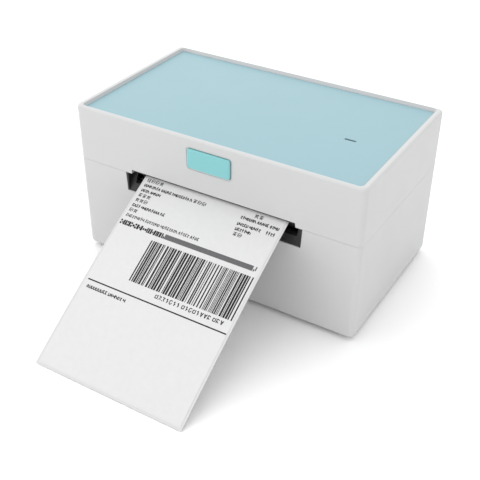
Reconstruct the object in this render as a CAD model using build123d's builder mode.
"""Desktop thermal label printer, 4 inch class.

A clamshell case stands on four rubber feet. The lower half holds the platen roller, its gear
train and stepper motor, the media deck with two coupled side guides, and the main board. The
cover hinges at the rear and carries the thermal print head, the tear bar and the release latch.
A strip of labels runs from the rear inlet over the roller and out of the front slot.

Millimetres. +X right, +Y rearwards, +Z up. The origin is on the desk, at the middle of the
footprint of the whole object, the printed label included.
"""

import os
from math import acos, atan2, cos, hypot, pi, radians, sin, sqrt, tan

from build123d import *

# ---------------------------------------------------------------- driving dimensions
WIDTH = 202.0  # case, side to side
DEPTH = 117.0  # case, front to rear
HEIGHT = 105.0  # case, without its feet
FOOT_HEIGHT = 2.5  # how far the feet stand below the case
WALL = 2.5
CORNER_R = 3.5  # upright edges of the case
TOP_EDGE_R = 1.8
BOTTOM_EDGE_R = 3.0
LABEL_REACH = 112.7  # how far the printed label's tip lies in front of the case
KNUCKLE_R = 3.0  # hinge knuckles, centred on the rear face
SEAM = 0.14  # gap between the two halves of the case
FIT = 0.3  # plain clearance between moving plastic parts
RUN = 0.05  # radial running clearance of a shaft
CROSS_SLOT = 0.6  # width of a screw's cross recess

FRONT = (LABEL_REACH - DEPTH - KNUCKLE_R) / 2  # y of the front face
BACK = FRONT + DEPTH
MID = (FRONT + BACK) / 2
CASE_BOTTOM = FOOT_HEIGHT
CASE_TOP = CASE_BOTTOM + HEIGHT
PARTING = CASE_BOTTOM + 66.9  # plane where cover and base meet
BASE_TOP = PARTING - SEAM / 2
COVER_BOTTOM = PARTING + SEAM / 2

# label exit in the front wall: a wide notch in the base, a narrower one in the cover
EXIT_LOW = CASE_BOTTOM + 53.8
EXIT_HALF_BASE = 63.6
EXIT_HALF_COVER = 59.3
EXIT_HIGH = PARTING + 2.2
TRIM_T = 0.7  # black strip along the upper edge of the exit
EXIT_FLARE = 0.5  # how far each end of a notch leans outwards
LIP_TOP = CASE_BOTTOM + 59.0  # front edge of the strip's way over the bezel

# platen roller, whose axis runs along X
PLATEN_R = 8.0
PLATEN_Y = FRONT + 15.0
PLATEN_Z = 68.0
ROLLER_HALF = 56.0
JOURNAL_R = 2.5
SHAFT_R = 3.0

# media strip
LINER_WIDTH = 103.0
LABEL_WIDTH = 100.0
LABEL_LENGTH = 150.0
LINER_T = 0.12
LABEL_T = 0.12
LABEL_SIDE_SHIFT = 2.5  # the strip lies against the right-hand guide
TIP_MARGIN = 1.5
LABEL_GAP = 3.0
MEDIA_R = PLATEN_R + 0.2  # centre line of the strip on the roller
EXIT_SLOPE = radians(28.0)  # downwards, where the strip leaves the roller
DECK_SLOPE = radians(10.0)  # the strip climbs this much towards the roller
TIP_Z = 0.45  # the strip's tip, just clear of the desk
TAIL = 95.5  # length of strip behind the roller

# chassis: a bent steel channel between the base's walls
FLANGE_X = 63.5  # inner face of each flange
FLANGE_T = 1.5
CHASSIS_FRONT = FRONT + 8.2
CHASSIS_BACK = FRONT + 52.0
CHASSIS_BOTTOM = 34.0
CHASSIS_TOP = 74.0

# gear train, outside the left flange
MODULE = 0.6
PLATEN_TEETH = 30
IDLER_SMALL_TEETH = 20
IDLER_BIG_TEETH = 44
MOTOR_TEETH = 18
MESH_SPREAD = 0.1  # added to each centre distance for backlash
TOOTH_THINNING = 0.12
MOTOR_Y = FRONT + 38.0
MOTOR_Z = 52.5
MOTOR_SIZE = 28.0  # square body
MOTOR_LENGTH = 32.0
MOTOR_CAP = 9.0  # each end cap
MOTOR_PILOT_R = 11.0  # boss that centres the motor in the chassis
MOTOR_SCREW_SPREAD = 11.5  # from the motor's axis to a screw, along Y and Z
INNER_GEARS = (-71.0, -67.0)  # x span of the platen gear and the idler's small gear
OUTER_GEARS = (-75.5, -72.0)  # x span of the idler's big gear and the motor pinion
STUD_R = 2.0

# media guides with their racks and pinion, below the deck
RACK_MODULE = 0.8
GUIDE_TEETH = 18
GUIDE_X = 54.6  # inner face of each fence
FENCE_T = 2.0

# cover hinge
HINGE_X = 80.0
HINGE_LENGTH = 10.0
SIDE_KNUCKLE = 4.0
HINGE_PIN_R = 1.5

# latch and release button
LATCH_Y = FRONT + 10.0
LATCH_Z = 84.0
LATCH_R = 2.5
HOOK_X = 88.0
HOOK_T = 4.0
BUTTON_WIDTH = 30.0
BUTTON_HEIGHT = 13.0
BUTTON_Z = CASE_BOTTOM + 91.4
BUTTON_PROUD = 1.0

# print head
HEAD_HALF = 57.0
HEAD_PIVOT_Y = FRONT + 40.0
HEAD_PIVOT_Z = 84.0
HEAD_PIVOT_R = 1.5
HEAD_BOTTOM = PLATEN_Z + MEDIA_R + 0.3  # just clear of the strip on the roller

# top panel, sunk inside a rim that slopes down to it, and its indicator
RIM_X = 3.7  # width of the rim's flat top at each side
RIM_Y = 1.9  # and at the front and rear
RIM_DEPTH = 2.2  # from the rim down to the panel
RIM_SLOPE = 20.0  # degrees, of the rim's inner wall from the upright
PANEL_T = 1.5
PANEL_R = 2.0
PANEL_GROOVE = 0.2
ROOF_T = 2.0
ROOF_TOP = CASE_TOP - RIM_DEPTH - PANEL_T
ROOF_BOTTOM = ROOF_TOP - ROOF_T
INDICATOR_X = 66.8
INDICATOR_Y = FRONT + 51.5
INDICATOR_LENGTH = 7.4
INDICATOR_WIDTH = 1.6
LENS_SINK = 0.6  # the lens lies this much below the panel

# inner frame of the cover
FRAME_PLATE_Z = 97.6
FRAME_PLATE_T = 2.0

SIDES = (-1, 1)

os.makedirs("parts", exist_ok=True)


# ---------------------------------------------------------------- shared helpers
def case_outline(inset=0.0):
    """The case seen from above, drawn this far inside its outer faces."""
    with Locations((0, MID)):
        RectangleRounded(WIDTH - 2 * inset, DEPTH - 2 * inset, max(CORNER_R - inset, 1.0))


def block(x, y, z, mode=Mode.ADD):
    """A box between the low and high values of x, y and z."""
    with Locations(((x[0] + x[1]) / 2, (y[0] + y[1]) / 2, (z[0] + z[1]) / 2)):
        Box(x[1] - x[0], y[1] - y[0], z[1] - z[0], mode=mode)


def rod(x, y, z, radius, mode=Mode.ADD):
    """A cylinder along X from x[0] to x[1]."""
    with BuildSketch(Plane.YZ.offset(x[0])) as disc:
        with Locations((y, z)):
            Circle(radius)
    extrude(disc.sketch, amount=x[1] - x[0], mode=mode)


def post(x, y, z, radius, mode=Mode.ADD):
    """A cylinder along Z from z[0] to z[1]."""
    with BuildSketch(Plane.XY.offset(z[0])) as disc:
        with Locations((x, y)):
            Circle(radius)
    extrude(disc.sketch, amount=z[1] - z[0], mode=mode)


def cross_recesses(places, z, depth, length):
    """Cross-shaped recesses upwards from z, one at each place, for screws along Z."""
    with BuildSketch(Plane.XY.offset(z)) as crosses:
        with Locations(*places):
            Rectangle(length, CROSS_SLOT)
            Rectangle(CROSS_SLOT, length)
    extrude(crosses.sketch, amount=depth, mode=Mode.SUBTRACT)


def involute_tooth(teeth, module, spin):
    """One gear tooth whose middle points at the angle spin, as a closed face of the sketch."""
    pitch_r = module * teeth / 2
    base_r = pitch_r * cos(radians(20))
    tip_r = pitch_r + 0.9 * module
    root_r = pitch_r - 1.25 * module
    flank_r = max(base_r, root_r)
    pressure = radians(20)
    half_pitch = pi / (2 * teeth) - TOOTH_THINNING / (2 * pitch_r) + tan(pressure) - pressure

    def flank_point(radius, side):
        roll = acos(min(1.0, base_r / radius))
        turn = spin + side * (half_pitch - (tan(roll) - roll))
        return (radius * cos(turn), radius * sin(turn))

    def root_point(side):
        turn = spin + side * half_pitch
        return ((root_r - 0.3) * cos(turn), (root_r - 0.3) * sin(turn))

    middle_r = (flank_r + tip_r) / 2
    tip = (tip_r * cos(spin), tip_r * sin(spin))
    with BuildLine() as outline:
        Line(root_point(-1), flank_point(flank_r, -1))
        ThreePointArc(*[flank_point(r, -1) for r in (flank_r, middle_r, tip_r)])
        ThreePointArc(flank_point(tip_r, -1), tip, flank_point(tip_r, 1))
        ThreePointArc(*[flank_point(r, 1) for r in (tip_r, middle_r, flank_r)])
        Line(flank_point(flank_r, 1), root_point(1))
        Line(root_point(1), root_point(-1))
    make_face(outline.edges())


def gear_blank(teeth, module, first_tooth):
    """A whole gear's outline, centred on the sketch's origin, with one tooth at first_tooth."""
    Circle(module * teeth / 2 - 1.25 * module)
    for k in range(teeth):
        involute_tooth(teeth, module, first_tooth + 2 * pi * k / teeth)


def gear(x, y, z, teeth, first_tooth):
    """A spur gear about an axis along X."""
    with BuildSketch(Plane(origin=(x[0], y, z), x_dir=(0, 1, 0), z_dir=(1, 0, 0))) as wheel:
        gear_blank(teeth, MODULE, first_tooth)
    extrude(wheel.sketch, amount=x[1] - x[0])


def coil(centre, length, radius, wire_r, turns, direction):
    """A compression spring of this whole length, from centre along direction."""
    rise = length - 2 * wire_r
    with BuildLine() as spine:
        Helix(pitch=rise / turns, height=rise, radius=radius, center=centre, direction=direction)
    path = spine.edges()[0]
    with BuildSketch(Plane(origin=path @ 0, z_dir=path % 0)) as wire:
        Circle(wire_r)
    sweep(wire.sketch, path=path, is_frenet=True)


# ---------------------------------------------------------------- the strip's path
def roller_point(turn, lift):
    """A point of the strip on the roller: turn is the angle behind the top, lift is outwards."""
    radius = MEDIA_R + lift
    return (PLATEN_Y + radius * sin(turn), PLATEN_Z + radius * cos(turn))


LEAVE = roller_point(-EXIT_SLOPE, 0)
TIP_Y = FRONT - LABEL_REACH
CHORD = hypot(LEAVE[0] - TIP_Y, LEAVE[1] - TIP_Z)
CHORD_SLOPE = atan2(LEAVE[1] - TIP_Z, LEAVE[0] - TIP_Y)
DROOP = 2 * (CHORD_SLOPE - EXIT_SLOPE)  # how much the free part of the strip bends
FREE_R = CHORD / 2 / sin(DROOP / 2)
FREE_LENGTH = FREE_R * DROOP
WRAP_LENGTH = MEDIA_R * (EXIT_SLOPE + DECK_SLOPE)
STRIP_LENGTH = FREE_LENGTH + WRAP_LENGTH + TAIL


def strip_point(s, lift):
    """A point (y, z) at distance s behind the strip's tip, lift above its centre line."""
    if s <= FREE_LENGTH:
        slope = EXIT_SLOPE + DROOP * (FREE_LENGTH - s) / FREE_LENGTH
        centre_y = LEAVE[0] + FREE_R * sin(EXIT_SLOPE)
        centre_z = LEAVE[1] - FREE_R * cos(EXIT_SLOPE)
        radius = FREE_R + lift
        return (centre_y - radius * sin(slope), centre_z + radius * cos(slope))
    if s <= FREE_LENGTH + WRAP_LENGTH:
        return roller_point((s - FREE_LENGTH) / MEDIA_R - EXIT_SLOPE, lift)
    start = roller_point(DECK_SLOPE, lift)
    back = s - FREE_LENGTH - WRAP_LENGTH
    return (start[0] + back * cos(DECK_SLOPE), start[1] - back * sin(DECK_SLOPE))


def strip(first, last, low, high, width):
    """A layer of the strip, from first to last behind the tip and from low to high above the line."""
    joins = [FREE_LENGTH, FREE_LENGTH + WRAP_LENGTH]
    stops = [first] + [j for j in joins if first < j < last] + [last]
    spans = list(zip(stops[:-1], stops[1:]))
    with BuildSketch(Plane.YZ.offset(LABEL_SIDE_SHIFT)) as section:
        with BuildLine():
            for a, b in spans:
                edge_of_strip(a, b, low)
            Line(strip_point(last, low), strip_point(last, high))
            for a, b in reversed(spans):
                edge_of_strip(b, a, high)
            Line(strip_point(first, high), strip_point(first, low))
        make_face()
    extrude(section.sketch, amount=width / 2, both=True)


def edge_of_strip(a, b, lift):
    """One edge of the strip's section, straight on the deck and an arc elsewhere."""
    if min(a, b) >= FREE_LENGTH + WRAP_LENGTH - 1e-6:
        Line(strip_point(a, lift), strip_point(b, lift))
    else:
        ThreePointArc(*[strip_point(s, lift) for s in (a, (a + b) / 2, b)])


# the deck's own plane: +Y runs rearwards down the deck, +Z is the deck's upward normal
DECK_START = strip_point(FREE_LENGTH + WRAP_LENGTH, 0)
DECK_PLANE = Plane(
    origin=(0, DECK_START[0], DECK_START[1]),
    x_dir=(1, 0, 0),
    z_dir=(0, sin(DECK_SLOPE), cos(DECK_SLOPE)),
)
DECK_TOP = -0.3  # below the strip's centre line
DECK_T = 2.0
DECK_FRONT = 11.0
DECK_BACK = TAIL + 3.0
DECK_HALF = FLANGE_X - 0.5
GUIDE_PITCH_R = RACK_MODULE * GUIDE_TEETH / 2
PINION_V = 62.0  # place of the pinion's axis down the deck
RACK_TOP = -3.2
RACK_BOTTOM = -7.2
RACK_BODY = 4.5
RACK_OFFSET = GUIDE_PITCH_R + MESH_SPREAD  # from the pinion's axis to a rack's pitch line
FENCE_HEIGHT = 7.0
FENCE_HALF_LENGTH = 18.0
REAR_SLOT_LOW = strip_point(STRIP_LENGTH, -0.5)[1]
REAR_SLOT_HALF = 60.0


def deck_block(x, v, w, mode=Mode.ADD):
    """A box in the deck's plane, between the low and high values of x, v and w."""
    middle = DECK_PLANE.offset((w[0] + w[1]) / 2)
    with BuildSketch(middle) as slab:
        with Locations(((x[0] + x[1]) / 2, (v[0] + v[1]) / 2)):
            Rectangle(x[1] - x[0], v[1] - v[0])
    extrude(slab.sketch, amount=(w[1] - w[0]) / 2, both=True, mode=mode)


# ---------------------------------------------------------------- base housing and its bottom cover
PAN_T = 2.5
PAN_TOP = CASE_BOTTOM + PAN_T
PAN_INSET = 4.0  # rebate round the housing's underside that takes the bottom cover
PAN_GAP = 0.2
LEDGE_INSET = 8.0  # inner edge of the ledge that the cover is screwed to
LEDGE_T = 2.0
BOSS_R = 4.5
BOSS_HEIGHT = 8.0
SCREW_BOSSES = [(x * 74.0, MID + y * 49.5) for x in SIDES for y in SIDES]
FOOT_PLACES = [(x * 86.0, MID + y * 42.0) for x in SIDES for y in SIDES]
FOOT_R = 6.6
FOOT_SEAT = 1.0  # depth of the recess that holds a foot
POST_R = 3.5
CHASSIS_POSTS = [(x * 56.0, y) for x in SIDES for y in (FRONT + 13.5, FRONT + 46.0)]
BOARD_X = (-60.0, 68.0)
BOARD_Y = (FRONT + 56.0, FRONT + 111.0)
BOARD_Z = 10.0
BOARD_T = 1.6
BOARD_POSTS = [(x, y) for x in (-55.0, 62.0) for y in (FRONT + 61.0, FRONT + 100.0)]
BOARD_POST_R = 3.0
SHELF_TOP = 64.0  # top of the two side covers
SHELF_T = 2.0
SHELF_POSTS = [(x * 92.5, FRONT + d) for x in SIDES for d in (24.0, 96.0)]
SHELF_POST_LOW = 14.0
DECK_POSTS = [(side * 57.0, BACK - 9.0) for side in SIDES]
DECK_POST_R = 3.0
DECK_POST_LOW = 40.0
DECK_POST_TOP = REAR_SLOT_LOW - 2.8
RIB_T = 2.4  # webs that join posts to the walls
USB_X = 15.0
JACK_X = -15.0
SWITCH_X = -76.0
SWITCH_Z = 22.0
SWITCH_LENGTH = 19.0
SWITCH_TALL = 13.0
USB_WIDE = 12.0
USB_TALL = 11.0
JACK_WIDE = 9.0
JACK_TALL = 11.0
PORT_Z = BOARD_Z + BOARD_T
TONGUE_T = 1.2
TONGUE_HEIGHT = 1.5
TONGUE_ROOT = 3.0


def knuckle_spans(side):
    """The x spans of the two base knuckles beside one cover knuckle."""
    near = side * HINGE_X - HINGE_LENGTH / 2 - FIT - SIDE_KNUCKLE
    far = side * HINGE_X + HINGE_LENGTH / 2 + FIT
    return [(near, near + SIDE_KNUCKLE), (far, far + SIDE_KNUCKLE)]


def notch_half(z):
    """Half the width of the base's notch at height z."""
    rise = (z - EXIT_LOW) / (BASE_TOP + 5.0 - EXIT_LOW)
    return EXIT_HALF_BASE - EXIT_FLARE + 2 * EXIT_FLARE * rise


def ring(outer, inner):
    """The band between two outlines of the case, as a closed face of the sketch."""
    case_outline(outer)
    with Locations((0, MID)):
        RectangleRounded(WIDTH - 2 * inner, DEPTH - 2 * inner, 1.0, mode=Mode.SUBTRACT)


with BuildPart() as base_housing:
    with BuildSketch(Plane.XY.offset(CASE_BOTTOM)):
        case_outline()
    extrude(amount=BASE_TOP - CASE_BOTTOM)
    fillet(base_housing.faces().sort_by(Axis.Z)[0].edges(), BOTTOM_EDGE_R)
    # hollow above the ledge, the ledge's opening, and the bottom cover's rebate below it
    hollows = [
        (WALL, PAN_TOP + LEDGE_T, BASE_TOP),
        (LEDGE_INSET, CASE_BOTTOM, BASE_TOP),
        (PAN_INSET, CASE_BOTTOM, PAN_TOP),
    ]
    for inset, low, high in hollows:
        with BuildSketch(Plane.XY.offset(low)):
            case_outline(inset)
        extrude(amount=high - low, mode=Mode.SUBTRACT)
    # tongue inside the seam, with its root on the wall
    tongue_inner = WALL + FIT + TONGUE_T
    tongue_steps = [
        (WALL - 0.5, BASE_TOP - TONGUE_ROOT, BASE_TOP),
        (WALL + FIT, BASE_TOP, BASE_TOP + TONGUE_HEIGHT),
    ]
    for outer, low, high in tongue_steps:
        with BuildSketch(Plane.XY.offset(low)):
            ring(outer, tongue_inner)
        extrude(amount=high - low)
    # posts on the walls for the side covers and the deck, each with a web to its wall
    inside_x = WIDTH / 2 - WALL + 0.5
    for x, y in SHELF_POSTS:
        web = sorted((x, inside_x if x > 0 else -inside_x))
        post(x, y, (SHELF_POST_LOW, SHELF_TOP - SHELF_T), POST_R)
        block(web, (y - RIB_T / 2, y + RIB_T / 2), (SHELF_POST_LOW, SHELF_TOP - SHELF_T))
    for x, y in DECK_POSTS:
        post(x, y, (DECK_POST_LOW, DECK_POST_TOP), DECK_POST_R)
        block((x - RIB_T / 2, x + RIB_T / 2), (y, BACK - WALL + 0.5), (DECK_POST_LOW, DECK_POST_TOP))
    for x, y in SCREW_BOSSES:
        post(x, y, (PAN_TOP, PAN_TOP + BOSS_HEIGHT), BOSS_R)
    # hinge knuckles on the rear face
    for side in SIDES:
        for span in knuckle_spans(side):
            rod(span, BACK, PARTING, KNUCKLE_R)
    for side in SIDES:
        reach = HINGE_LENGTH / 2 + FIT
        rod((side * HINGE_X - reach, side * HINGE_X + reach), BACK, PARTING, KNUCKLE_R + FIT, Mode.SUBTRACT)
        reach += SIDE_KNUCKLE + 1.0
        rod((side * HINGE_X - reach, side * HINGE_X + reach), BACK, PARTING, HINGE_PIN_R, Mode.SUBTRACT)
    # label exit, with slightly flared ends
    with BuildSketch(Plane.XZ.offset(-FRONT + 2.0)):
        with BuildLine():
            Polyline(
                (-notch_half(EXIT_LOW), EXIT_LOW),
                (notch_half(EXIT_LOW), EXIT_LOW),
                (notch_half(BASE_TOP + 5.0), BASE_TOP + 5.0),
                (-notch_half(BASE_TOP + 5.0), BASE_TOP + 5.0),
                close=True,
            )
        make_face()
    extrude(amount=-(2.0 + tongue_inner + 0.5), mode=Mode.SUBTRACT)
    # media inlet in the rear wall
    inlet_y = (BACK - tongue_inner - 0.5, BACK + 1.0)
    block((-REAR_SLOT_HALF, REAR_SLOT_HALF), inlet_y, (REAR_SLOT_LOW, BASE_TOP + 5.0), Mode.SUBTRACT)
    # ports and power switch in the rear wall
    wall_cut = (BACK - WALL - 1.0, BACK + 1.0)
    for x, wide, tall in [(USB_X, USB_WIDE, USB_TALL), (JACK_X, JACK_WIDE, JACK_TALL)]:
        half = wide / 2 + 0.2
        block((x - half, x + half), wall_cut, (PORT_Z - 0.2, PORT_Z + tall + 0.2), Mode.SUBTRACT)
    switch_half = SWITCH_LENGTH / 2 + 0.1
    switch_rise = SWITCH_TALL / 2 + 0.1
    switch_x = (SWITCH_X - switch_half, SWITCH_X + switch_half)
    block(switch_x, wall_cut, (SWITCH_Z - switch_rise, SWITCH_Z + switch_rise), Mode.SUBTRACT)
    # holes for the screws
    for x, y in SCREW_BOSSES:
        post(x, y, (PAN_TOP - 1.0, PAN_TOP + BOSS_HEIGHT - 1.0), 1.5, Mode.SUBTRACT)
    for x, y in SHELF_POSTS:
        post(x, y, (SHELF_TOP - 12.0, SHELF_TOP + 1.0), 1.3, Mode.SUBTRACT)

with BuildPart() as bottom_cover:
    with BuildSketch(Plane.XY.offset(CASE_BOTTOM)):
        case_outline(PAN_INSET + PAN_GAP)
        with Locations(*SCREW_BOSSES):
            Circle(1.6, mode=Mode.SUBTRACT)
        with Locations((0, MID)):
            with GridLocations(32.0, 6.0, 3, 7):
                SlotOverall(28.0, 2.0, mode=Mode.SUBTRACT)
    extrude(amount=PAN_T)
    for x, y in CHASSIS_POSTS:
        post(x, y, (PAN_TOP - 0.5, CHASSIS_BOTTOM), POST_R)
    for x, y in BOARD_POSTS:
        post(x, y, (PAN_TOP - 0.5, BOARD_Z), BOARD_POST_R)
    for x, y in SCREW_BOSSES:
        with BuildSketch(Plane.XY.offset(CASE_BOTTOM)):
            with Locations((x, y)):
                Circle(2.8)
        extrude(amount=1.2, taper=45, mode=Mode.SUBTRACT)
    for x, y in FOOT_PLACES:
        post(x, y, (CASE_BOTTOM - 1.0, CASE_BOTTOM + FOOT_SEAT), FOOT_R + 0.2, Mode.SUBTRACT)
    for x, y in CHASSIS_POSTS:
        post(x, y, (CHASSIS_BOTTOM - 9.0, CHASSIS_BOTTOM + 1.0), 1.5, Mode.SUBTRACT)
    for x, y in BOARD_POSTS:
        post(x, y, (PAN_TOP, BOARD_Z + 1.0), 1.3, Mode.SUBTRACT)

with BuildPart() as bottom_screws:
    head_low = CASE_BOTTOM + 0.1
    for x, y in SCREW_BOSSES:
        with BuildSketch(Plane.XY.offset(head_low)):
            with Locations((x, y)):
                Circle(2.65)
        extrude(amount=1.25, taper=45)
        post(x, y, (CASE_BOTTOM + 1.0, PAN_TOP + 5.0), 1.4)
    cross_recesses(SCREW_BOSSES, head_low, 0.9, 2.6)

with BuildPart() as rubber_feet:
    for x, y in FOOT_PLACES:
        post(x, y, (0.0, CASE_BOTTOM + FOOT_SEAT - 0.05), FOOT_R)
    chamfer(rubber_feet.faces().group_by(Axis.Z)[0].edges(), 0.6)


# ---------------------------------------------------------------- exit bezel
LIP_FRONT = FRONT + 0.5
LIP_LOW = EXIT_LOW + 0.15
LIP_RISE = BASE_TOP - 0.6 - LIP_LOW
LIP_RUN = 6.3
BEZEL_BACK = FRONT + 8.0
CHEEK_T = 0.8

with BuildPart() as exit_bezel:
    with BuildSketch(Plane.YZ.offset(-EXIT_HALF_BASE + CHEEK_T)):
        with BuildLine():
            Polyline(
                (LIP_FRONT, LIP_LOW),
                (LIP_FRONT + LIP_RUN, LIP_LOW + LIP_RISE),
                (BEZEL_BACK, LIP_LOW + LIP_RISE),
                (BEZEL_BACK, EXIT_LOW - 4.0),
                (FRONT + WALL + 0.2, EXIT_LOW - 4.0),
                (FRONT + WALL + 0.2, LIP_LOW),
                close=True,
            )
        make_face()
    extrude(amount=2 * (EXIT_HALF_BASE - CHEEK_T))
    # the strip's way through, between two cheeks, and the roller's bay behind the lip
    way_x = (-EXIT_HALF_COVER + 0.5, EXIT_HALF_COVER - 0.5)
    block(way_x, (FRONT - 1.0, BEZEL_BACK + 1.0), (LIP_TOP, BASE_TOP + 1.0), Mode.SUBTRACT)
    rod((-EXIT_HALF_BASE - 1, EXIT_HALF_BASE + 1), PLATEN_Y, PLATEN_Z, PLATEN_R + 1.0, Mode.SUBTRACT)
    # cheeks that line the ends of the notch
    for side in SIDES:
        inner = side * (EXIT_HALF_BASE - CHEEK_T - 0.6)
        with BuildSketch(Plane.XZ.offset(-FRONT - 0.1)):
            with BuildLine():
                Polyline(
                    (inner, LIP_LOW),
                    (side * (notch_half(LIP_LOW) - 0.1), LIP_LOW),
                    (side * (notch_half(BASE_TOP) - 0.1), BASE_TOP - 0.1),
                    (inner, BASE_TOP - 0.1),
                    close=True,
                )
            make_face()
        extrude(amount=-(BEZEL_BACK - FRONT - 0.6))
    # fine ribs along the lip
    for rise in (1.6, 3.1, 4.6):
        y = LIP_FRONT + rise * LIP_RUN / LIP_RISE
        rod((-EXIT_HALF_BASE + 6.0, EXIT_HALF_BASE - 6.0), y, LIP_LOW + rise, 0.25, Mode.SUBTRACT)


# ---------------------------------------------------------------- chassis
motor_distance = hypot(MOTOR_Y - PLATEN_Y, MOTOR_Z - PLATEN_Z)
motor_reach = MODULE * (MOTOR_TEETH + IDLER_BIG_TEETH) / 2 + MESH_SPREAD
platen_reach = MODULE * (PLATEN_TEETH + IDLER_SMALL_TEETH) / 2 + MESH_SPREAD
along = (motor_reach**2 - platen_reach**2 + motor_distance**2) / (2 * motor_distance)
aside = sqrt(motor_reach**2 - along**2)
aim = ((PLATEN_Y - MOTOR_Y) / motor_distance, (PLATEN_Z - MOTOR_Z) / motor_distance)
IDLER_Y = MOTOR_Y + along * aim[0] - aside * aim[1]
IDLER_Z = MOTOR_Z + along * aim[1] + aside * aim[0]
MOTOR_SCREWS = [
    (MOTOR_Y + a * MOTOR_SCREW_SPREAD, MOTOR_Z + b * MOTOR_SCREW_SPREAD) for a in SIDES for b in SIDES
]
BUSHING_R = 5.0
COLLAR_R = 6.2
TAB_V = (24.0, 30.0)  # the deck's side tabs, down the deck

with BuildPart() as chassis_frame:
    flange_height = CHASSIS_TOP - CHASSIS_BOTTOM
    with BuildSketch(Plane.XZ.offset(-CHASSIS_FRONT)):
        with Locations((0, CHASSIS_BOTTOM + flange_height / 2)):
            Rectangle(2 * (FLANGE_X + FLANGE_T), flange_height)
        with Locations((0, CHASSIS_BOTTOM + flange_height / 2 + FLANGE_T)):
            Rectangle(2 * FLANGE_X, flange_height, mode=Mode.SUBTRACT)
    extrude(amount=-(CHASSIS_BACK - CHASSIS_FRONT))
    bends = chassis_frame.edges().filter_by(Axis.Y).group_by(Axis.Z)[0]
    fillet(bends, 1.2)
    for side in SIDES:
        span = sorted((side * (FLANGE_X - 1.0), side * (FLANGE_X + FLANGE_T + 1.0)))
        # the platen's bushings drop into open slots
        rod(span, PLATEN_Y, PLATEN_Z, BUSHING_R + RUN, Mode.SUBTRACT)
        slot_y = (PLATEN_Y - BUSHING_R - RUN, PLATEN_Y + BUSHING_R + RUN)
        block(span, slot_y, (PLATEN_Z, CHASSIS_TOP + 1.0), Mode.SUBTRACT)
        tab_v = (TAB_V[0] - 0.1, TAB_V[1] + 0.1)
        deck_block(span, tab_v, (DECK_TOP - DECK_T - 0.1, DECK_TOP + 0.1), Mode.SUBTRACT)
    left = (-FLANGE_X - FLANGE_T - 1.0, -FLANGE_X + 1.0)
    rod(left, MOTOR_Y, MOTOR_Z, MOTOR_PILOT_R + RUN, Mode.SUBTRACT)
    rod(left, IDLER_Y, IDLER_Z, STUD_R, Mode.SUBTRACT)
    for y, z in MOTOR_SCREWS:
        rod(left, y, z, 1.35, Mode.SUBTRACT)
    for x, y in CHASSIS_POSTS:
        post(x, y, (CHASSIS_BOTTOM - 1.0, CHASSIS_BOTTOM + FLANGE_T + 1.0), 1.6, Mode.SUBTRACT)

with BuildPart() as chassis_screws:
    chassis_seat = CHASSIS_BOTTOM + FLANGE_T
    for x, y in CHASSIS_POSTS:
        post(x, y, (chassis_seat, chassis_seat + 1.8), 2.8)
        post(x, y, (chassis_seat - 9.0, chassis_seat), 1.45)
    cross_recesses(CHASSIS_POSTS, chassis_seat + 0.9, 1.0, 2.8)

with BuildPart() as platen_bushings:
    for side in SIDES:
        collar = sorted((side * (FLANGE_X - 1.5), side * FLANGE_X))
        sleeve = sorted((side * (FLANGE_X - 1.5), side * (FLANGE_X + FLANGE_T + 0.3)))
        rod(collar, PLATEN_Y, PLATEN_Z, COLLAR_R)
        rod(sleeve, PLATEN_Y, PLATEN_Z, BUSHING_R)
        bore = sorted((side * (FLANGE_X - 3.0), side * (FLANGE_X + FLANGE_T + 1.0)))
        rod(bore, PLATEN_Y, PLATEN_Z, JOURNAL_R + RUN, Mode.SUBTRACT)

with BuildPart() as idler_stud:
    rod((-FLANGE_X - 12.8, -FLANGE_X), IDLER_Y, IDLER_Z, STUD_R)
    rod((-FLANGE_X, -FLANGE_X + 1.0), IDLER_Y, IDLER_Z, 3.5)

with BuildPart() as stepper_motor:
    motor_back = -FLANGE_X + MOTOR_LENGTH
    with BuildSketch(Plane.YZ.offset(-FLANGE_X)):
        with Locations((MOTOR_Y, MOTOR_Z)):
            RectangleRounded(MOTOR_SIZE, MOTOR_SIZE, 2.5)
    extrude(amount=MOTOR_LENGTH)
    # the stator pack is a little smaller than the two end caps
    with BuildSketch(Plane.YZ.offset(-FLANGE_X + MOTOR_CAP)):
        with Locations((MOTOR_Y, MOTOR_Z)):
            Rectangle(MOTOR_SIZE + 2, MOTOR_SIZE + 2)
            RectangleRounded(MOTOR_SIZE - 0.8, MOTOR_SIZE - 0.8, 4.5, mode=Mode.SUBTRACT)
    extrude(amount=MOTOR_LENGTH - 2 * MOTOR_CAP, mode=Mode.SUBTRACT)
    rod((-FLANGE_X - 1.7, -FLANGE_X), MOTOR_Y, MOTOR_Z, MOTOR_PILOT_R)
    rod((-FLANGE_X - 2.0, -FLANGE_X + 8.0), MOTOR_Y, MOTOR_Z, JOURNAL_R + RUN, Mode.SUBTRACT)
    for y, z in MOTOR_SCREWS:
        rod((-FLANGE_X - 1.0, -FLANGE_X + 5.0), y, z, 1.25, Mode.SUBTRACT)
    # socket for the motor's leads
    socket_x = (motor_back - 7.0, motor_back - 1.0)
    socket_z = (MOTOR_Z - MOTOR_SIZE / 2 - 2.0, MOTOR_Z - MOTOR_SIZE / 2 + 1.0)
    block(socket_x, (MOTOR_Y - 6.0, MOTOR_Y + 6.0), socket_z)

with BuildPart() as motor_screws:
    face = -FLANGE_X - FLANGE_T
    for y, z in MOTOR_SCREWS:
        rod((face - 1.4, face), y, z, 2.3)
        rod((face, -FLANGE_X + 4.0), y, z, 1.2)
        with BuildSketch(Plane.YZ.offset(face - 1.5)):
            with Locations((y, z)):
                Rectangle(2.4, 0.5)
                Rectangle(0.5, 2.4)
        extrude(amount=0.8, mode=Mode.SUBTRACT)


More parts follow.
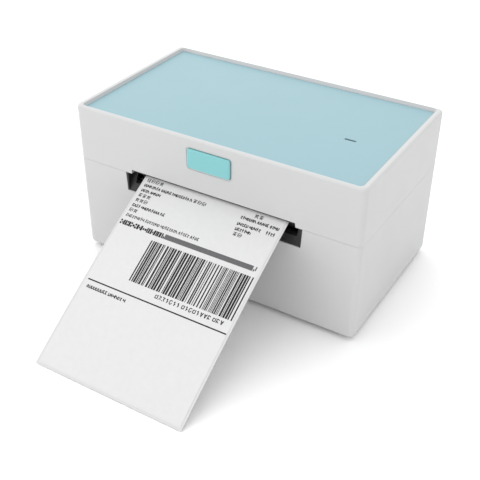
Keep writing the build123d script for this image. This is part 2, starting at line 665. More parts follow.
# ---------------------------------------------------------------- platen roller and gears
to_idler = atan2(IDLER_Z - PLATEN_Z, IDLER_Y - PLATEN_Y)
to_motor = atan2(MOTOR_Z - IDLER_Z, MOTOR_Y - IDLER_Y)

with BuildPart() as platen_shaft:
    rod((INNER_GEARS[0] - 0.2, FLANGE_X + 3.0), PLATEN_Y, PLATEN_Z, JOURNAL_R)
    rod((-ROLLER_HALF - 2.0, ROLLER_HALF + 2.0), PLATEN_Y, PLATEN_Z, SHAFT_R)
    chamfer(platen_shaft.faces().filter_by(Axis.X).group_by(Axis.X)[-1].edges(), 0.4)

with BuildPart() as platen_rubber:
    rod((-ROLLER_HALF, ROLLER_HALF), PLATEN_Y, PLATEN_Z, PLATEN_R)
    chamfer(platen_rubber.edges().filter_by(GeomType.CIRCLE), 0.4)
    rod((-ROLLER_HALF - 1, ROLLER_HALF + 1), PLATEN_Y, PLATEN_Z, SHAFT_R, Mode.SUBTRACT)

with BuildPart() as platen_gear:
    gear(INNER_GEARS, PLATEN_Y, PLATEN_Z, PLATEN_TEETH, to_idler)
    rod(INNER_GEARS, PLATEN_Y, PLATEN_Z, JOURNAL_R, Mode.SUBTRACT)

with BuildPart() as idler_gear:
    gear(INNER_GEARS, IDLER_Y, IDLER_Z, IDLER_SMALL_TEETH, to_idler + pi + pi / IDLER_SMALL_TEETH)
    gear(OUTER_GEARS, IDLER_Y, IDLER_Z, IDLER_BIG_TEETH, to_motor)
    rod((OUTER_GEARS[0], INNER_GEARS[1]), IDLER_Y, IDLER_Z, 4.2)
    rod((OUTER_GEARS[0] - 1, INNER_GEARS[1] + 1), IDLER_Y, IDLER_Z, STUD_R + RUN, Mode.SUBTRACT)

with BuildPart() as motor_shaft:
    rod((OUTER_GEARS[0] - 0.8, -FLANGE_X + 7.0), MOTOR_Y, MOTOR_Z, JOURNAL_R)

with BuildPart() as motor_pinion:
    gear(OUTER_GEARS, MOTOR_Y, MOTOR_Z, MOTOR_TEETH, to_motor + pi + pi / MOTOR_TEETH)
    rod((OUTER_GEARS[1], OUTER_GEARS[1] + 2.5), MOTOR_Y, MOTOR_Z, 4.2)
    rod((OUTER_GEARS[0], OUTER_GEARS[1] + 3.0), MOTOR_Y, MOTOR_Z, JOURNAL_R, Mode.SUBTRACT)

GEAR_COVER_X = (-FLANGE_X - 14.8, -FLANGE_X - 3.2)
GEAR_COVER_T = 1.2


def gear_cover_section(inset):
    """The gear cover seen from the side, open below, drawn this far inside its outer faces."""
    low = SHELF_TOP - 1.5 - inset / 2
    front = FRONT + 4.4
    with BuildLine() as outline:
        Polyline(
            (front - inset / 3, low),
            (front - inset / 3, 80.0 - inset),
            (FRONT + 26.0 - inset / 2, 80.0 - inset),
            (FRONT + 37.0 - inset / 2, 68.0 - inset),
            (FRONT + 54.0 - inset, 68.0 - inset),
            (FRONT + 54.0 - inset, low),
            close=True,
        )
    make_face(outline.edges())


with BuildPart() as gear_cover:
    cover_length = GEAR_COVER_X[1] - GEAR_COVER_X[0]
    with BuildSketch(Plane.YZ.offset(GEAR_COVER_X[0])):
        gear_cover_section(0.0)
    extrude(amount=cover_length)
    with BuildSketch(Plane.YZ.offset(GEAR_COVER_X[0] + GEAR_COVER_T)):
        gear_cover_section(GEAR_COVER_T)
    extrude(amount=cover_length, mode=Mode.SUBTRACT)
    tab_x = GEAR_COVER_X[0] + 6.0
    block((tab_x - 4.0, tab_x + 4.0), (FRONT + 53.5, FRONT + 60.0), (SHELF_TOP, SHELF_TOP + 1.2))
    post(tab_x, FRONT + 57.5, (SHELF_TOP - 0.5, SHELF_TOP + 2.0), 1.4, Mode.SUBTRACT)
GEAR_COVER_SCREW = (tab_x, FRONT + 57.5)


# ---------------------------------------------------------------- side covers
def side_cover(side):
    """The shelf between a chassis flange and the case wall."""
    near = FLANGE_X + 3.0
    far = WIDTH / 2 - WALL - 0.3
    with BuildSketch(Plane.XY.offset(SHELF_TOP - SHELF_T)) as shelf:
        with Locations((side * (near + far) / 2, MID)):
            RectangleRounded(far - near, DEPTH - 6.0, 3.0)
    extrude(shelf.sketch, amount=SHELF_T)
    # stiffening rib along the inner edge
    rib_x = sorted((side * near, side * (near + 1.5)))
    block(rib_x, (FRONT + 62.0, BACK - 10.0), (SHELF_TOP - 14.0, SHELF_TOP))
    for x, y in SHELF_POSTS:
        if x * side > 0:
            post(x, y, (SHELF_TOP - SHELF_T - 1.0, SHELF_TOP + 1.0), 1.5, Mode.SUBTRACT)


with BuildPart() as side_cover_right:
    side_cover(1)

with BuildPart() as side_cover_left:
    side_cover(-1)
    block(
        (GEAR_COVER_X[0] - 0.5, -FLANGE_X),
        (FRONT, FRONT + 54.5),
        (SHELF_TOP - SHELF_T - 1.0, SHELF_TOP + 1.0),
        Mode.SUBTRACT,
    )
    post(*GEAR_COVER_SCREW, (SHELF_TOP - SHELF_T - 1.0, SHELF_TOP + 1.0), 1.1, Mode.SUBTRACT)

with BuildPart() as side_cover_screws:
    for x, y in SHELF_POSTS:
        post(x, y, (SHELF_TOP, SHELF_TOP + 1.6), 2.5)
        post(x, y, (SHELF_TOP - 9.0, SHELF_TOP), 1.25)
    gear_seat = SHELF_TOP + 1.2
    post(*GEAR_COVER_SCREW, (gear_seat, gear_seat + 1.4), 2.3)
    post(*GEAR_COVER_SCREW, (gear_seat - 4.0, gear_seat), 1.05)
    cross_recesses(SHELF_POSTS, SHELF_TOP + 0.9, 1.0, 2.4)
    cross_recesses([GEAR_COVER_SCREW], gear_seat + 0.8, 1.0, 2.4)

# spring clips that the cover's hooks snap under
with BuildPart() as latch_catches:
    for side in SIDES:
        with BuildSketch(Plane.YZ.offset(side * HOOK_X - HOOK_T / 2 - 1.0)):
            with BuildLine():
                clip = Polyline(
                    (LATCH_Y + 11.0, SHELF_TOP + 0.3),
                    (LATCH_Y + 6.5, SHELF_TOP + 0.3),
                    (LATCH_Y + 6.5, SHELF_TOP + 5.3),
                    (LATCH_Y + 2.4, SHELF_TOP + 4.9),
                )
                offset(clip, amount=0.3)
            make_face()
        extrude(amount=HOOK_T + 2.0)


# ---------------------------------------------------------------- media deck and guides
def guide_outline(side):
    """A guide's rack in the deck's plane, its teeth towards the pinion."""
    pitch = pi * RACK_MODULE
    half = pitch / 4 - TOOTH_THINNING / 2
    line = PINION_V + side * RACK_OFFSET
    tip = line - side * 0.9 * RACK_MODULE
    root = line + side * 1.25 * RACK_MODULE
    slant = tan(radians(20))
    count = 5
    points = [(-side * (count + 0.5) * pitch, root + side * RACK_BODY)]
    teeth = range(-count, count) if side > 0 else range(count - 1, -count - 1, -1)
    for k in teeth:
        middle = (k + 0.5) * pitch
        for end in (-side, side):
            wide = half + 1.25 * RACK_MODULE * slant
            thin = half - 0.9 * RACK_MODULE * slant
            corners = [(middle + end * wide, root), (middle + end * thin, tip)]
            points += corners if end == -side else corners[::-1]
    points = [points[0], (points[0][0], root)] + points[1:]
    points.append((side * (GUIDE_X + 4.0), root))
    points.append((side * (GUIDE_X + 4.0), root + side * RACK_BODY))
    with BuildLine() as outline:
        Polyline(*points, close=True)
    make_face(outline.edges())


def media_guide(side):
    """A fence on the deck, its stem through the deck and its rack below."""
    with BuildSketch(DECK_PLANE.offset(RACK_BOTTOM)) as rack:
        guide_outline(side)
    extrude(rack.sketch, amount=RACK_TOP - RACK_BOTTOM)
    root = PINION_V + side * (RACK_OFFSET + 1.25 * RACK_MODULE)
    stem_v = sorted((root + side * 0.6, root + side * (RACK_BODY - 0.6)))
    deck_block(sorted((side * GUIDE_X, side * (GUIDE_X + 4.0))), stem_v, (RACK_TOP - 0.5, 0.4))
    fence_v = (PINION_V - FENCE_HALF_LENGTH, PINION_V + FENCE_HALF_LENGTH)
    deck_block(sorted((side * GUIDE_X, side * (GUIDE_X + FENCE_T))), fence_v, (0.0, FENCE_HEIGHT))


with BuildPart() as media_guide_left:
    media_guide(-1)

with BuildPart() as media_guide_right:
    media_guide(1)

with BuildPart() as guide_pinion:
    pinion_place = DECK_PLANE.offset(RACK_BOTTOM) * Location((0, PINION_V, 0))
    with BuildSketch(Plane(pinion_place)):
        gear_blank(GUIDE_TEETH, RACK_MODULE, pi / 2)
        Circle(STUD_R + RUN, mode=Mode.SUBTRACT)
    extrude(amount=RACK_TOP - RACK_BOTTOM)

with BuildPart() as media_deck:
    deck_block((-DECK_HALF, DECK_HALF), (DECK_FRONT, DECK_BACK), (DECK_TOP - DECK_T, DECK_TOP))
    deck_block((-FLANGE_X - 2.0, FLANGE_X + 2.0), TAB_V, (DECK_TOP - DECK_T, DECK_TOP))
    # ribs along the deck's underside
    for x in (-40.0, 40.0):
        rib_v = (DECK_FRONT + 30.0, PINION_V - 14.0)
        deck_block((x - 0.8, x + 0.8), rib_v, (DECK_TOP - DECK_T - 3.0, DECK_TOP - 1.0))
    # pillars over the housing's rear posts
    for x, y in DECK_POSTS:
        post(x, y, (DECK_POST_TOP, DECK_POST_TOP + 2.5), DECK_POST_R)
    # pinion's stud
    with BuildSketch(DECK_PLANE.offset(RACK_BOTTOM - 0.8)):
        with Locations((0, PINION_V)):
            Circle(STUD_R)
    extrude(amount=DECK_TOP - RACK_BOTTOM + 0.3)
    # slots for the guides' stems, open at the deck's sides
    for side in SIDES:
        root = PINION_V + side * (RACK_OFFSET + 1.25 * RACK_MODULE)
        slot_v = sorted((root + side * 0.2, root + side * (RACK_BODY - 0.2)))
        deck_block(
            sorted((side * (GUIDE_X - 0.5), side * (DECK_HALF + 1.0))),
            slot_v,
            (DECK_TOP - DECK_T - 1.0, DECK_TOP + 1.0),
            Mode.SUBTRACT,
        )
    for x, y in DECK_POSTS:
        post(x, y, (DECK_POST_TOP - 1.0, DECK_POST_TOP + 7.0), 1.2, Mode.SUBTRACT)
    # opening for the gap sensor
    deck_block((-6.0, 6.0), (21.0, 29.0), (DECK_TOP - DECK_T - 1.0, DECK_TOP + 1.0), Mode.SUBTRACT)

with BuildPart() as gap_sensor:
    deck_block((-5.8, 5.8), (21.2, 28.8), (-7.0, DECK_TOP - 0.2))
    deck_block((-9.0, 9.0), (21.2, 28.8), (-4.0, DECK_TOP - DECK_T))
    for x in (-2.5, 2.5):
        deck_block((x - 1.0, x + 1.0), (24.0, 26.0), (DECK_TOP - 0.9, DECK_TOP), Mode.SUBTRACT)

with BuildPart() as label_liner:
    strip(0, STRIP_LENGTH, -LINER_T / 2, LINER_T / 2, LINER_WIDTH)

with BuildPart() as printed_label:
    strip(TIP_MARGIN, TIP_MARGIN + LABEL_LENGTH, LINER_T / 2, LINER_T / 2 + LABEL_T, LABEL_WIDTH)

with BuildPart() as next_label:
    next_start = TIP_MARGIN + LABEL_LENGTH + LABEL_GAP
    strip(next_start, STRIP_LENGTH - 1.0, LINER_T / 2, LINER_T / 2 + LABEL_T, LABEL_WIDTH)


# ---------------------------------------------------------------- electronics in the base
BOARD_TOP = BOARD_Z + BOARD_T

with BuildPart() as main_board:
    with BuildSketch(Plane.XY.offset(BOARD_Z)):
        with Locations(((BOARD_X[0] + BOARD_X[1]) / 2, (BOARD_Y[0] + BOARD_Y[1]) / 2)):
            Rectangle(BOARD_X[1] - BOARD_X[0], BOARD_Y[1] - BOARD_Y[0])
        with Locations(*BOARD_POSTS):
            Circle(1.6, mode=Mode.SUBTRACT)
    extrude(amount=BOARD_T)

with BuildPart() as board_screws:
    for x, y in BOARD_POSTS:
        post(x, y, (BOARD_TOP, BOARD_TOP + 1.6), 2.4)
        post(x, y, (BOARD_TOP - 4.5, BOARD_TOP), 1.25)
    cross_recesses(BOARD_POSTS, BOARD_TOP + 0.9, 1.0, 2.4)

CHIPS = [  # x, y, length, width, height
    (2.0, FRONT + 74.0, 20.0, 20.0, 1.6),
    (34.0, FRONT + 72.0, 10.0, 12.0, 1.2),
    (34.0, FRONT + 90.0, 8.0, 6.0, 1.4),
    (-30.0, FRONT + 72.0, 12.0, 12.0, 1.2),
    (-26.0, FRONT + 90.0, 12.0, 12.0, 6.0),
    (50.0, FRONT + 84.0, 6.0, 20.0, 7.0),
    (-48.0, FRONT + 74.0, 6.0, 18.0, 7.0),
    (14.0, FRONT + 60.0, 24.0, 5.0, 4.0),
]
CAPACITORS = [(-40.0, FRONT + 90.0), (-40.0, FRONT + 101.0), (40.0, FRONT + 102.0)]

with BuildPart() as board_components:
    for x, y, long, wide, high in CHIPS:
        block((x - long / 2, x + long / 2), (y - wide / 2, y + wide / 2), (BOARD_TOP, BOARD_TOP + high))
    for x, y in CAPACITORS:
        post(x, y, (BOARD_TOP, BOARD_TOP + 13.0), 4.5)


def port(x, wide, tall, deep):
    """A connector's outer shell, its face just inside the rear wall's outer face."""
    block((x - wide / 2, x + wide / 2), (BACK - 0.3 - deep, BACK - 0.3), (PORT_Z, PORT_Z + tall))


with BuildPart() as usb_port:
    port(USB_X, USB_WIDE, USB_TALL, 16.0)
    usb_z = PORT_Z + USB_TALL / 2
    block((USB_X - 4.2, USB_X + 4.2), (BACK - 9.0, BACK), (usb_z - 3.9, usb_z + 3.9), Mode.SUBTRACT)
    block((USB_X - 2.8, USB_X + 2.8), (BACK - 10.0, BACK - 2.0), (usb_z - 1.6, usb_z + 1.6))

with BuildPart() as dc_jack:
    port(JACK_X, JACK_WIDE, JACK_TALL, 14.0)
    with BuildSketch(Plane.XZ.offset(-BACK + 10.0)):
        with Locations((JACK_X, PORT_Z + JACK_TALL / 2)):
            Circle(2.8)
            Circle(1.0, mode=Mode.SUBTRACT)
    extrude(amount=-12.0, mode=Mode.SUBTRACT)

ROCKER_AXIS_Y = BACK - 3.5
ROCKER_TILT = 7.0
ROCKER_HALF = 6.4
with BuildPart() as power_switch_body:
    block(
        (SWITCH_X - SWITCH_LENGTH / 2, SWITCH_X + SWITCH_LENGTH / 2),
        (BACK - 16.0, BACK + 0.1),
        (SWITCH_Z - SWITCH_TALL / 2, SWITCH_Z + SWITCH_TALL / 2),
    )
    block(
        (SWITCH_X - SWITCH_LENGTH / 2 - 1.0, SWITCH_X + SWITCH_LENGTH / 2 + 1.0),
        (BACK + 0.05, BACK + 1.3),
        (SWITCH_Z - SWITCH_TALL / 2 - 1.0, SWITCH_Z + SWITCH_TALL / 2 + 1.0),
    )
    fillet(power_switch_body.faces().sort_by(Axis.Y)[-1].edges(), 0.5)
    block(
        (SWITCH_X - ROCKER_HALF - 1.2, SWITCH_X + ROCKER_HALF + 1.2),
        (BACK - 9.0, BACK + 2.0),
        (SWITCH_Z - 4.9, SWITCH_Z + 4.9),
        Mode.SUBTRACT,
    )
    with BuildSketch(Plane.XY.offset(SWITCH_Z - 5.9)):
        with Locations((SWITCH_X, ROCKER_AXIS_Y)):
            Circle(1.05)
    extrude(amount=11.8, mode=Mode.SUBTRACT)
    for side in SIDES:
        block(
            (SWITCH_X + side * 4.5 - 0.4, SWITCH_X + side * 4.5 + 0.4),
            (BACK - 22.0, BACK - 15.5),
            (SWITCH_Z - 2.4, SWITCH_Z + 2.4),
        )

with BuildPart() as power_rocker:
    turned = Plane(
        origin=(SWITCH_X, ROCKER_AXIS_Y, SWITCH_Z - 4.6),
        x_dir=(cos(radians(ROCKER_TILT)), sin(radians(ROCKER_TILT)), 0),
        z_dir=(0, 0, 1),
    )
    with BuildSketch(turned):
        with BuildLine():
            Polyline(
                (-ROCKER_HALF, 4.6),
                (-ROCKER_HALF, -1.5),
                (-2.5, -4.0),
                (2.5, -4.0),
                (ROCKER_HALF, -1.5),
                (ROCKER_HALF, 4.6),
            )
            ThreePointArc((ROCKER_HALF, 4.6), (0, 3.6), (-ROCKER_HALF, 4.6))
        make_face()
    extrude(amount=9.2)
    post(SWITCH_X, ROCKER_AXIS_Y, (SWITCH_Z - 5.8, SWITCH_Z + 5.8), 1.0)

with BuildPart() as hinge_pins:
    for side in SIDES:
        reach = HINGE_LENGTH / 2 + FIT + SIDE_KNUCKLE
        rod((side * HINGE_X - reach, side * HINGE_X + reach), BACK, PARTING, HINGE_PIN_R)

with BuildPart() as cover_sensor:
    block((78.0, 84.0), (FRONT + 60.0, FRONT + 68.0), (SHELF_TOP, SHELF_TOP + 4.0))
    for y in (FRONT + 62.5, FRONT + 65.5):
        post(81.0, y, (SHELF_TOP + 3.2, SHELF_TOP + 5.0), 0.8, Mode.SUBTRACT)


# ---------------------------------------------------------------- cover
COVER_BOSSES = [(x * 84.0, y) for x in SIDES for y in (FRONT + 34.0, FRONT + 94.0)]
BUTTON_CUT = (BUTTON_WIDTH + 2 * FIT, BUTTON_HEIGHT + 2 * FIT)
BUTTON_RIM = 0.9  # width of the shallow recess round the button
BUTTON_RIM_DEPTH = 0.3
INDICATOR_POST_X = 8.5
INDICATOR_BOARD_GAP = 1.2  # from the roof down to the indicator's board


def panel_outline(inset):
    """The panel's place seen from above, drawn this far inside the rim's inner top edge."""
    with Locations((0, MID)):
        RectangleRounded(WIDTH - 2 * (RIM_X + inset), DEPTH - 2 * (RIM_Y + inset), PANEL_R)


PANEL_INSET = RIM_DEPTH * tan(radians(RIM_SLOPE))

with BuildPart() as cover_shell:
    with BuildSketch(Plane.XY.offset(COVER_BOTTOM)):
        case_outline()
    extrude(amount=CASE_TOP - COVER_BOTTOM)
    fillet(cover_shell.faces().sort_by(Axis.Z)[-1].edges(), TOP_EDGE_R)
    with BuildSketch(Plane.XY.offset(COVER_BOTTOM)):
        case_outline(WALL)
    extrude(amount=ROOF_BOTTOM - COVER_BOTTOM, mode=Mode.SUBTRACT)
    # the panel's recess, upright beside the panel and sloping above it
    with BuildSketch(Plane.XY.offset(ROOF_TOP)):
        panel_outline(PANEL_INSET)
    extrude(amount=PANEL_T, mode=Mode.SUBTRACT)
    with BuildSketch(Plane.XY.offset(CASE_TOP - RIM_DEPTH)):
        panel_outline(PANEL_INSET)
    extrude(amount=RIM_DEPTH, taper=-RIM_SLOPE, mode=Mode.SUBTRACT)
    # knuckles
    for side in SIDES:
        for span in knuckle_spans(side):
            rod((span[0] - FIT, span[1] + FIT), BACK, PARTING, KNUCKLE_R + FIT, Mode.SUBTRACT)
        span = (side * HINGE_X - HINGE_LENGTH / 2, side * HINGE_X + HINGE_LENGTH / 2)
        rod(span, BACK, PARTING, KNUCKLE_R)
        rod((span[0] - 1.0, span[1] + 1.0), BACK, PARTING, HINGE_PIN_R + RUN, Mode.SUBTRACT)
    # notch over the label exit
    with BuildSketch(Plane.XZ.offset(-FRONT + 1.0)):
        with BuildLine():
            Polyline(
                (-EXIT_HALF_COVER - EXIT_FLARE, COVER_BOTTOM - 5.0),
                (-EXIT_HALF_COVER + EXIT_FLARE, EXIT_HIGH + TRIM_T),
                (EXIT_HALF_COVER - EXIT_FLARE, EXIT_HIGH + TRIM_T),
                (EXIT_HALF_COVER + EXIT_FLARE, COVER_BOTTOM - 5.0),
                close=True,
            )
        make_face()
    extrude(amount=-(1.0 + WALL + 0.5), mode=Mode.SUBTRACT)
    # button opening in its shallow recess
    with BuildSketch(Plane.XZ.offset(-FRONT + 1.0)):
        with Locations((0, BUTTON_Z)):
            RectangleRounded(BUTTON_CUT[0] + 2 * BUTTON_RIM, BUTTON_CUT[1] + 2 * BUTTON_RIM, 2.7)
    extrude(amount=-(1.0 + BUTTON_RIM_DEPTH), mode=Mode.SUBTRACT)
    with BuildSketch(Plane.XZ.offset(-FRONT + 1.0)):
        with Locations((0, BUTTON_Z)):
            RectangleRounded(*BUTTON_CUT, 1.8)
    extrude(amount=-(1.0 + WALL + 1.0), mode=Mode.SUBTRACT)
    # indicator opening and the posts under the roof
    with BuildSketch(Plane.XY.offset(ROOF_BOTTOM - 1.0)):
        with Locations((INDICATOR_X, INDICATOR_Y)):
            Rectangle(INDICATOR_LENGTH, INDICATOR_WIDTH)
    extrude(amount=ROOF_T + 2.0, mode=Mode.SUBTRACT)
    for x, y in COVER_BOSSES:
        post(x, y, (FRAME_PLATE_Z + FRAME_PLATE_T, ROOF_BOTTOM + 0.5), 4.0)
        post(x, y, (FRAME_PLATE_Z, ROOF_BOTTOM + 1.5), 1.25, Mode.SUBTRACT)
    for side in SIDES:
        x = INDICATOR_X + side * INDICATOR_POST_X
        post(x, INDICATOR_Y, (ROOF_BOTTOM - INDICATOR_BOARD_GAP, ROOF_BOTTOM + 0.5), 1.4)

with BuildPart() as top_panel:
    with BuildSketch(Plane.XY.offset(ROOF_TOP)):
        panel_outline(PANEL_INSET + PANEL_GROOVE)
    extrude(amount=PANEL_T)
    fillet(top_panel.faces().sort_by(Axis.Z)[-1].edges(), 0.2)
    with BuildSketch(Plane.XY.offset(ROOF_TOP - 1.0)):
        with Locations((INDICATOR_X, INDICATOR_Y)):
            Rectangle(INDICATOR_LENGTH, INDICATOR_WIDTH)
    extrude(amount=PANEL_T + 2.0, mode=Mode.SUBTRACT)

with BuildPart() as indicator_lens:
    lens_x = (INDICATOR_X - INDICATOR_LENGTH / 2 + 0.05, INDICATOR_X + INDICATOR_LENGTH / 2 - 0.05)
    lens_y = (INDICATOR_Y - INDICATOR_WIDTH / 2 + 0.05, INDICATOR_Y + INDICATOR_WIDTH / 2 - 0.05)
    block(lens_x, lens_y, (ROOF_BOTTOM, ROOF_TOP + PANEL_T - LENS_SINK))
    lip_x = (lens_x[0] - 0.8, lens_x[1] + 0.8)
    block(lip_x, (lens_y[0] - 0.6, lens_y[1] + 0.6), (ROOF_BOTTOM - 0.5, ROOF_BOTTOM))

with BuildPart() as indicator_board:
    board_x = (INDICATOR_X - 11.0, INDICATOR_X + 11.0)
    board_top = ROOF_BOTTOM - INDICATOR_BOARD_GAP
    block(board_x, (INDICATOR_Y - 5.0, INDICATOR_Y + 5.0), (board_top - 0.8, board_top))
    lamp_x = (INDICATOR_X - 1.6, INDICATOR_X + 1.6)
    block(lamp_x, (INDICATOR_Y - 0.8, INDICATOR_Y + 0.8), (board_top - 0.1, board_top + 0.6))

LATCH_LUGS = ((60.0, 63.0), (81.5, 84.0))
HEAD_LUG = (60.0, 63.0)
SPRING_X = 12.0
SPRING_Z = LATCH_Z + 10.5
SPRING_END = FRONT + 14.0
FRAME_X = 92.0
FRAME_Y = (FRONT + 7.0, FRONT + 104.0)
FRAME_OPENING_X = 40.0
FRAME_OPENING_Y = (FRONT + 52.0, FRONT + 92.0)

with BuildPart() as cover_frame:
    block((-FRAME_X, FRAME_X), FRAME_Y, (FRAME_PLATE_Z, FRAME_PLATE_Z + FRAME_PLATE_T))
    opening_x = (-FRAME_OPENING_X, FRAME_OPENING_X)
    opening_z = (FRAME_PLATE_Z - 1.0, FRAME_PLATE_Z + FRAME_PLATE_T + 1.0)
    block(opening_x, FRAME_OPENING_Y, opening_z, Mode.SUBTRACT)
    # cross ribs in front of and behind the opening
    for y in (FRAME_OPENING_Y[0] - 2.0, FRAME_OPENING_Y[1] + 0.5):
        block((-60.0, 60.0), (y, y + 1.5), (FRAME_PLATE_Z - 5.0, FRAME_PLATE_Z + 0.5))
    for x, y in COVER_BOSSES:
        post(x, y, opening_z, 1.4, Mode.SUBTRACT)

with BuildPart() as latch_brackets:
    for side in SIDES:
        for near, far in LATCH_LUGS:
            span = sorted((side * near, side * far))
            block(span, (LATCH_Y - 4.0, LATCH_Y + 5.0), (LATCH_Z - 4.0, FRAME_PLATE_Z))
            rod((span[0] - 1.0, span[1] + 1.0), LATCH_Y, LATCH_Z, LATCH_R + RUN, Mode.SUBTRACT)
        # stop behind the button's spring
        x = side * SPRING_X
        block((x - 4.0, x + 4.0), (SPRING_END, SPRING_END + 2.0), (SPRING_Z - 3.5, FRAME_PLATE_Z))

with BuildPart() as head_brackets:
    for side in SIDES:
        span = sorted((side * HEAD_LUG[0], side * HEAD_LUG[1]))
        block(span, (HEAD_PIVOT_Y - 5.0, HEAD_PIVOT_Y + 5.0), (HEAD_PIVOT_Z - 4.5, FRAME_PLATE_Z))
        rod((span[0] - 1.0, span[1] + 1.0), HEAD_PIVOT_Y, HEAD_PIVOT_Z, HEAD_PIVOT_R, Mode.SUBTRACT)

with BuildPart() as cover_frame_screws:
    for x, y in COVER_BOSSES:
        post(x, y, (FRAME_PLATE_Z - 1.6, FRAME_PLATE_Z), 2.5)
        post(x, y, (FRAME_PLATE_Z, ROOF_BOTTOM + 1.0), 1.25)
    cross_recesses(COVER_BOSSES, FRAME_PLATE_Z - 1.7, 0.8, 2.4)

TRIM_UPSTAND = 0.8
with BuildPart() as exit_trim:
    trim_half = EXIT_HALF_COVER - EXIT_FLARE
    span = (-trim_half, trim_half)
    block(span, (FRONT + 0.1, FRONT + WALL + TRIM_UPSTAND), (EXIT_HIGH, EXIT_HIGH + TRIM_T))
    upstand_y = (FRONT + WALL, FRONT + WALL + TRIM_UPSTAND)
    block(span, upstand_y, (EXIT_HIGH, EXIT_HIGH + TRIM_T + 0.3))

TEAR_LOW = EXIT_HIGH + 1.9
TEAR_TEETH = 76
with BuildPart() as tear_bar:
    tear_y = FRONT + WALL
    block((-HEAD_HALF, HEAD_HALF), (tear_y, tear_y + 0.8), (TEAR_LOW, TEAR_LOW + 7.0))
    with BuildSketch(Plane.XZ.offset(-tear_y)):
        with BuildLine():
            pitch = 2 * HEAD_HALF / TEAR_TEETH
            saw = [(-HEAD_HALF, TEAR_LOW + 0.2)]
            for k in range(TEAR_TEETH):
                saw.append((-HEAD_HALF + (k + 0.5) * pitch, TEAR_LOW - 0.8))
                saw.append((-HEAD_HALF + (k + 1) * pitch, TEAR_LOW + 0.2))
            saw += [(HEAD_HALF, TEAR_LOW + 0.5), (-HEAD_HALF, TEAR_LOW + 0.5)]
            Polyline(*saw, close=True)
        make_face()
    extrude(amount=-0.8)


# ---------------------------------------------------------------- print head
HEATSINK_LOW = HEAD_BOTTOM + 1.2
HEATSINK_TOP = HEATSINK_LOW + 4.0
HEAD_SPRING_X = 30.0
HEAD_SPRING_Y = FRONT + 20.0

with BuildPart() as print_head:
    block((-54.0, 54.0), (FRONT + 11.5, FRONT + 24.0), (HEAD_BOTTOM, HEATSINK_LOW))
    chamfer(print_head.faces().sort_by(Axis.Z)[0].edges().filter_by(Axis.X), 0.4)

with BuildPart() as head_driver_board:
    block((-54.0, 54.0), (FRONT + 24.3, FRONT + 36.0), (HEATSINK_LOW - 1.0, HEATSINK_LOW))
    block((-48.0, 48.0), (FRONT + 25.0, FRONT + 29.0), (HEATSINK_LOW - 1.6, HEATSINK_LOW - 1.0))

with BuildPart() as head_connector:
    block((-16.0, 16.0), (FRONT + 31.0, FRONT + 36.0), (HEATSINK_LOW - 4.0, HEATSINK_LOW - 1.0))
    mouth_z = (HEATSINK_LOW - 3.4, HEATSINK_LOW - 1.8)
    block((-14.5, 14.5), (FRONT + 33.0, FRONT + 37.0), mouth_z, Mode.SUBTRACT)

with BuildPart() as head_heatsink:
    block((-HEAD_HALF, HEAD_HALF), (FRONT + 13.5, FRONT + 36.0), (HEATSINK_LOW, HEATSINK_TOP))
    for side in SIDES:
        span = sorted((side * (HEAD_HALF - 3.0), side * HEAD_HALF))
        block(span, (FRONT + 30.0, HEAD_PIVOT_Y + 2.0), (HEATSINK_LOW, HEAD_PIVOT_Z + 1.0))
        rod(span, HEAD_PIVOT_Y, HEAD_PIVOT_Z, 3.5)
        rod((span[0] - 1.0, span[1] + 1.0), HEAD_PIVOT_Y, HEAD_PIVOT_Z, HEAD_PIVOT_R + RUN, Mode.SUBTRACT)
    # grooves between the cooling fins
    for k in range(5):
        y = FRONT + 24.0 + 2.2 * k
        groove_x = (-HEAD_HALF + 6.0, HEAD_HALF - 6.0)
        block(groove_x, (y, y + 1.0), (HEATSINK_TOP - 2.4, HEATSINK_TOP + 1.0), Mode.SUBTRACT)

with BuildPart() as head_pivot_shaft:
    rod((-HEAD_LUG[1] - 1.0, HEAD_LUG[1] + 1.0), HEAD_PIVOT_Y, HEAD_PIVOT_Z, HEAD_PIVOT_R)

with BuildPart() as head_springs:
    for side in SIDES:
        low = HEATSINK_TOP + 0.2
        start = (side * HEAD_SPRING_X, HEAD_SPRING_Y, low + 0.3)
        coil(start, FRAME_PLATE_Z - low, 3.2, 0.3, 6, (0, 0, 1))


# ---------------------------------------------------------------- release button and latch
with BuildPart() as release_button:
    with BuildSketch(Plane.XZ.offset(-FRONT + BUTTON_PROUD)):
        with Locations((0, BUTTON_Z)):
            RectangleRounded(BUTTON_WIDTH, BUTTON_HEIGHT, 1.5)
    extrude(amount=-(BUTTON_PROUD + WALL + 0.5))
    fillet(release_button.faces().sort_by(Axis.Y)[0].edges(), 0.7)
    with BuildSketch(Plane.XZ.offset(-FRONT - WALL - 0.3)):
        with Locations((0, BUTTON_Z)):
            RectangleRounded(BUTTON_WIDTH + 3.4, BUTTON_HEIGHT + 2.0, 1.5)
    extrude(amount=-1.2)
    nose_y = LATCH_Y - 1.5 - 0.2 - 0.8
    block((-3.5, 3.5), (FRONT + WALL + 1.0, nose_y), (SPRING_Z - 0.8, SPRING_Z + 0.8))
    rod((-3.5, 3.5), nose_y, SPRING_Z, 0.8)

with BuildPart() as button_springs:
    for side in SIDES:
        low = FRONT + WALL + 1.5 + 0.2
        start = (side * SPRING_X, low + 0.25, SPRING_Z)
        coil(start, SPRING_END - low, 2.2, 0.25, 6, (0, 1, 0))

with BuildPart() as latch_bar:
    rod((-HOOK_X - HOOK_T / 2 - 1.0, HOOK_X + HOOK_T / 2 + 1.0), LATCH_Y, LATCH_Z, LATCH_R)
    block((-5.0, 5.0), (LATCH_Y - 1.5, LATCH_Y + 1.5), (LATCH_Z, LATCH_Z + 13.0))

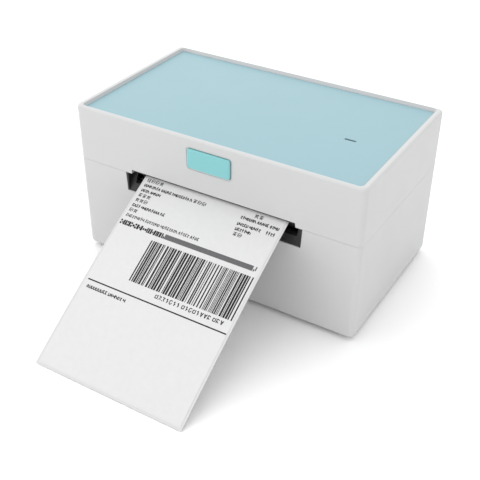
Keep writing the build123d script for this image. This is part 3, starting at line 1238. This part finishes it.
with BuildPart() as latch_hooks:
    for side in SIDES:
        span = (side * HOOK_X - HOOK_T / 2, side * HOOK_X + HOOK_T / 2)
        rod(span, LATCH_Y, LATCH_Z, 4.5)
        block(span, (LATCH_Y - 1.8, LATCH_Y + 1.5), (SHELF_TOP + 1.6, LATCH_Z))
        with BuildSketch(Plane.YZ.offset(span[0])):
            with BuildLine():
                Polyline(
                    (LATCH_Y + 1.4, SHELF_TOP + 1.6),
                    (LATCH_Y + 2.6, SHELF_TOP + 1.6),
                    (LATCH_Y + 5.2, SHELF_TOP + 4.0),
                    (LATCH_Y + 1.4, SHELF_TOP + 4.2),
                    close=True,
                )
            make_face()
        extrude(amount=HOOK_T)
        rod((span[0] - 1.0, span[1] + 1.0), LATCH_Y, LATCH_Z, LATCH_R, Mode.SUBTRACT)


# ---------------------------------------------------------------- write every piece
PIECES = {
    "base_housing": base_housing,
    "bottom_cover": bottom_cover,
    "bottom_screws": bottom_screws,
    "rubber_feet": rubber_feet,
    "exit_bezel": exit_bezel,
    "chassis_frame": chassis_frame,
    "chassis_screws": chassis_screws,
    "platen_bushings": platen_bushings,
    "idler_stud": idler_stud,
    "stepper_motor": stepper_motor,
    "motor_screws": motor_screws,
    "platen_shaft": platen_shaft,
    "platen_rubber": platen_rubber,
    "platen_gear": platen_gear,
    "idler_gear": idler_gear,
    "motor_shaft": motor_shaft,
    "motor_pinion": motor_pinion,
    "gear_cover": gear_cover,
    "side_cover_left": side_cover_left,
    "side_cover_right": side_cover_right,
    "side_cover_screws": side_cover_screws,
    "latch_catches": latch_catches,
    "media_deck": media_deck,
    "media_guide_left": media_guide_left,
    "media_guide_right": media_guide_right,
    "guide_pinion": guide_pinion,
    "gap_sensor": gap_sensor,
    "cover_sensor": cover_sensor,
    "label_liner": label_liner,
    "printed_label": printed_label,
    "next_label": next_label,
    "main_board": main_board,
    "board_screws": board_screws,
    "board_components": board_components,
    "usb_port": usb_port,
    "dc_jack": dc_jack,
    "power_switch_body": power_switch_body,
    "power_rocker": power_rocker,
    "hinge_pins": hinge_pins,
    "cover_shell": cover_shell,
    "top_panel": top_panel,
    "indicator_lens": indicator_lens,
    "indicator_board": indicator_board,
    "cover_frame": cover_frame,
    "latch_brackets": latch_brackets,
    "head_brackets": head_brackets,
    "cover_frame_screws": cover_frame_screws,
    "exit_trim": exit_trim,
    "tear_bar": tear_bar,
    "print_head": print_head,
    "head_driver_board": head_driver_board,
    "head_connector": head_connector,
    "head_heatsink": head_heatsink,
    "head_pivot_shaft": head_pivot_shaft,
    "head_springs": head_springs,
    "release_button": release_button,
    "button_springs": button_springs,
    "latch_bar": latch_bar,
    "latch_hooks": latch_hooks,
}

for name, piece in PIECES.items():
    piece.part.label = name
    export_step(piece.part, f"parts/{name}.step")
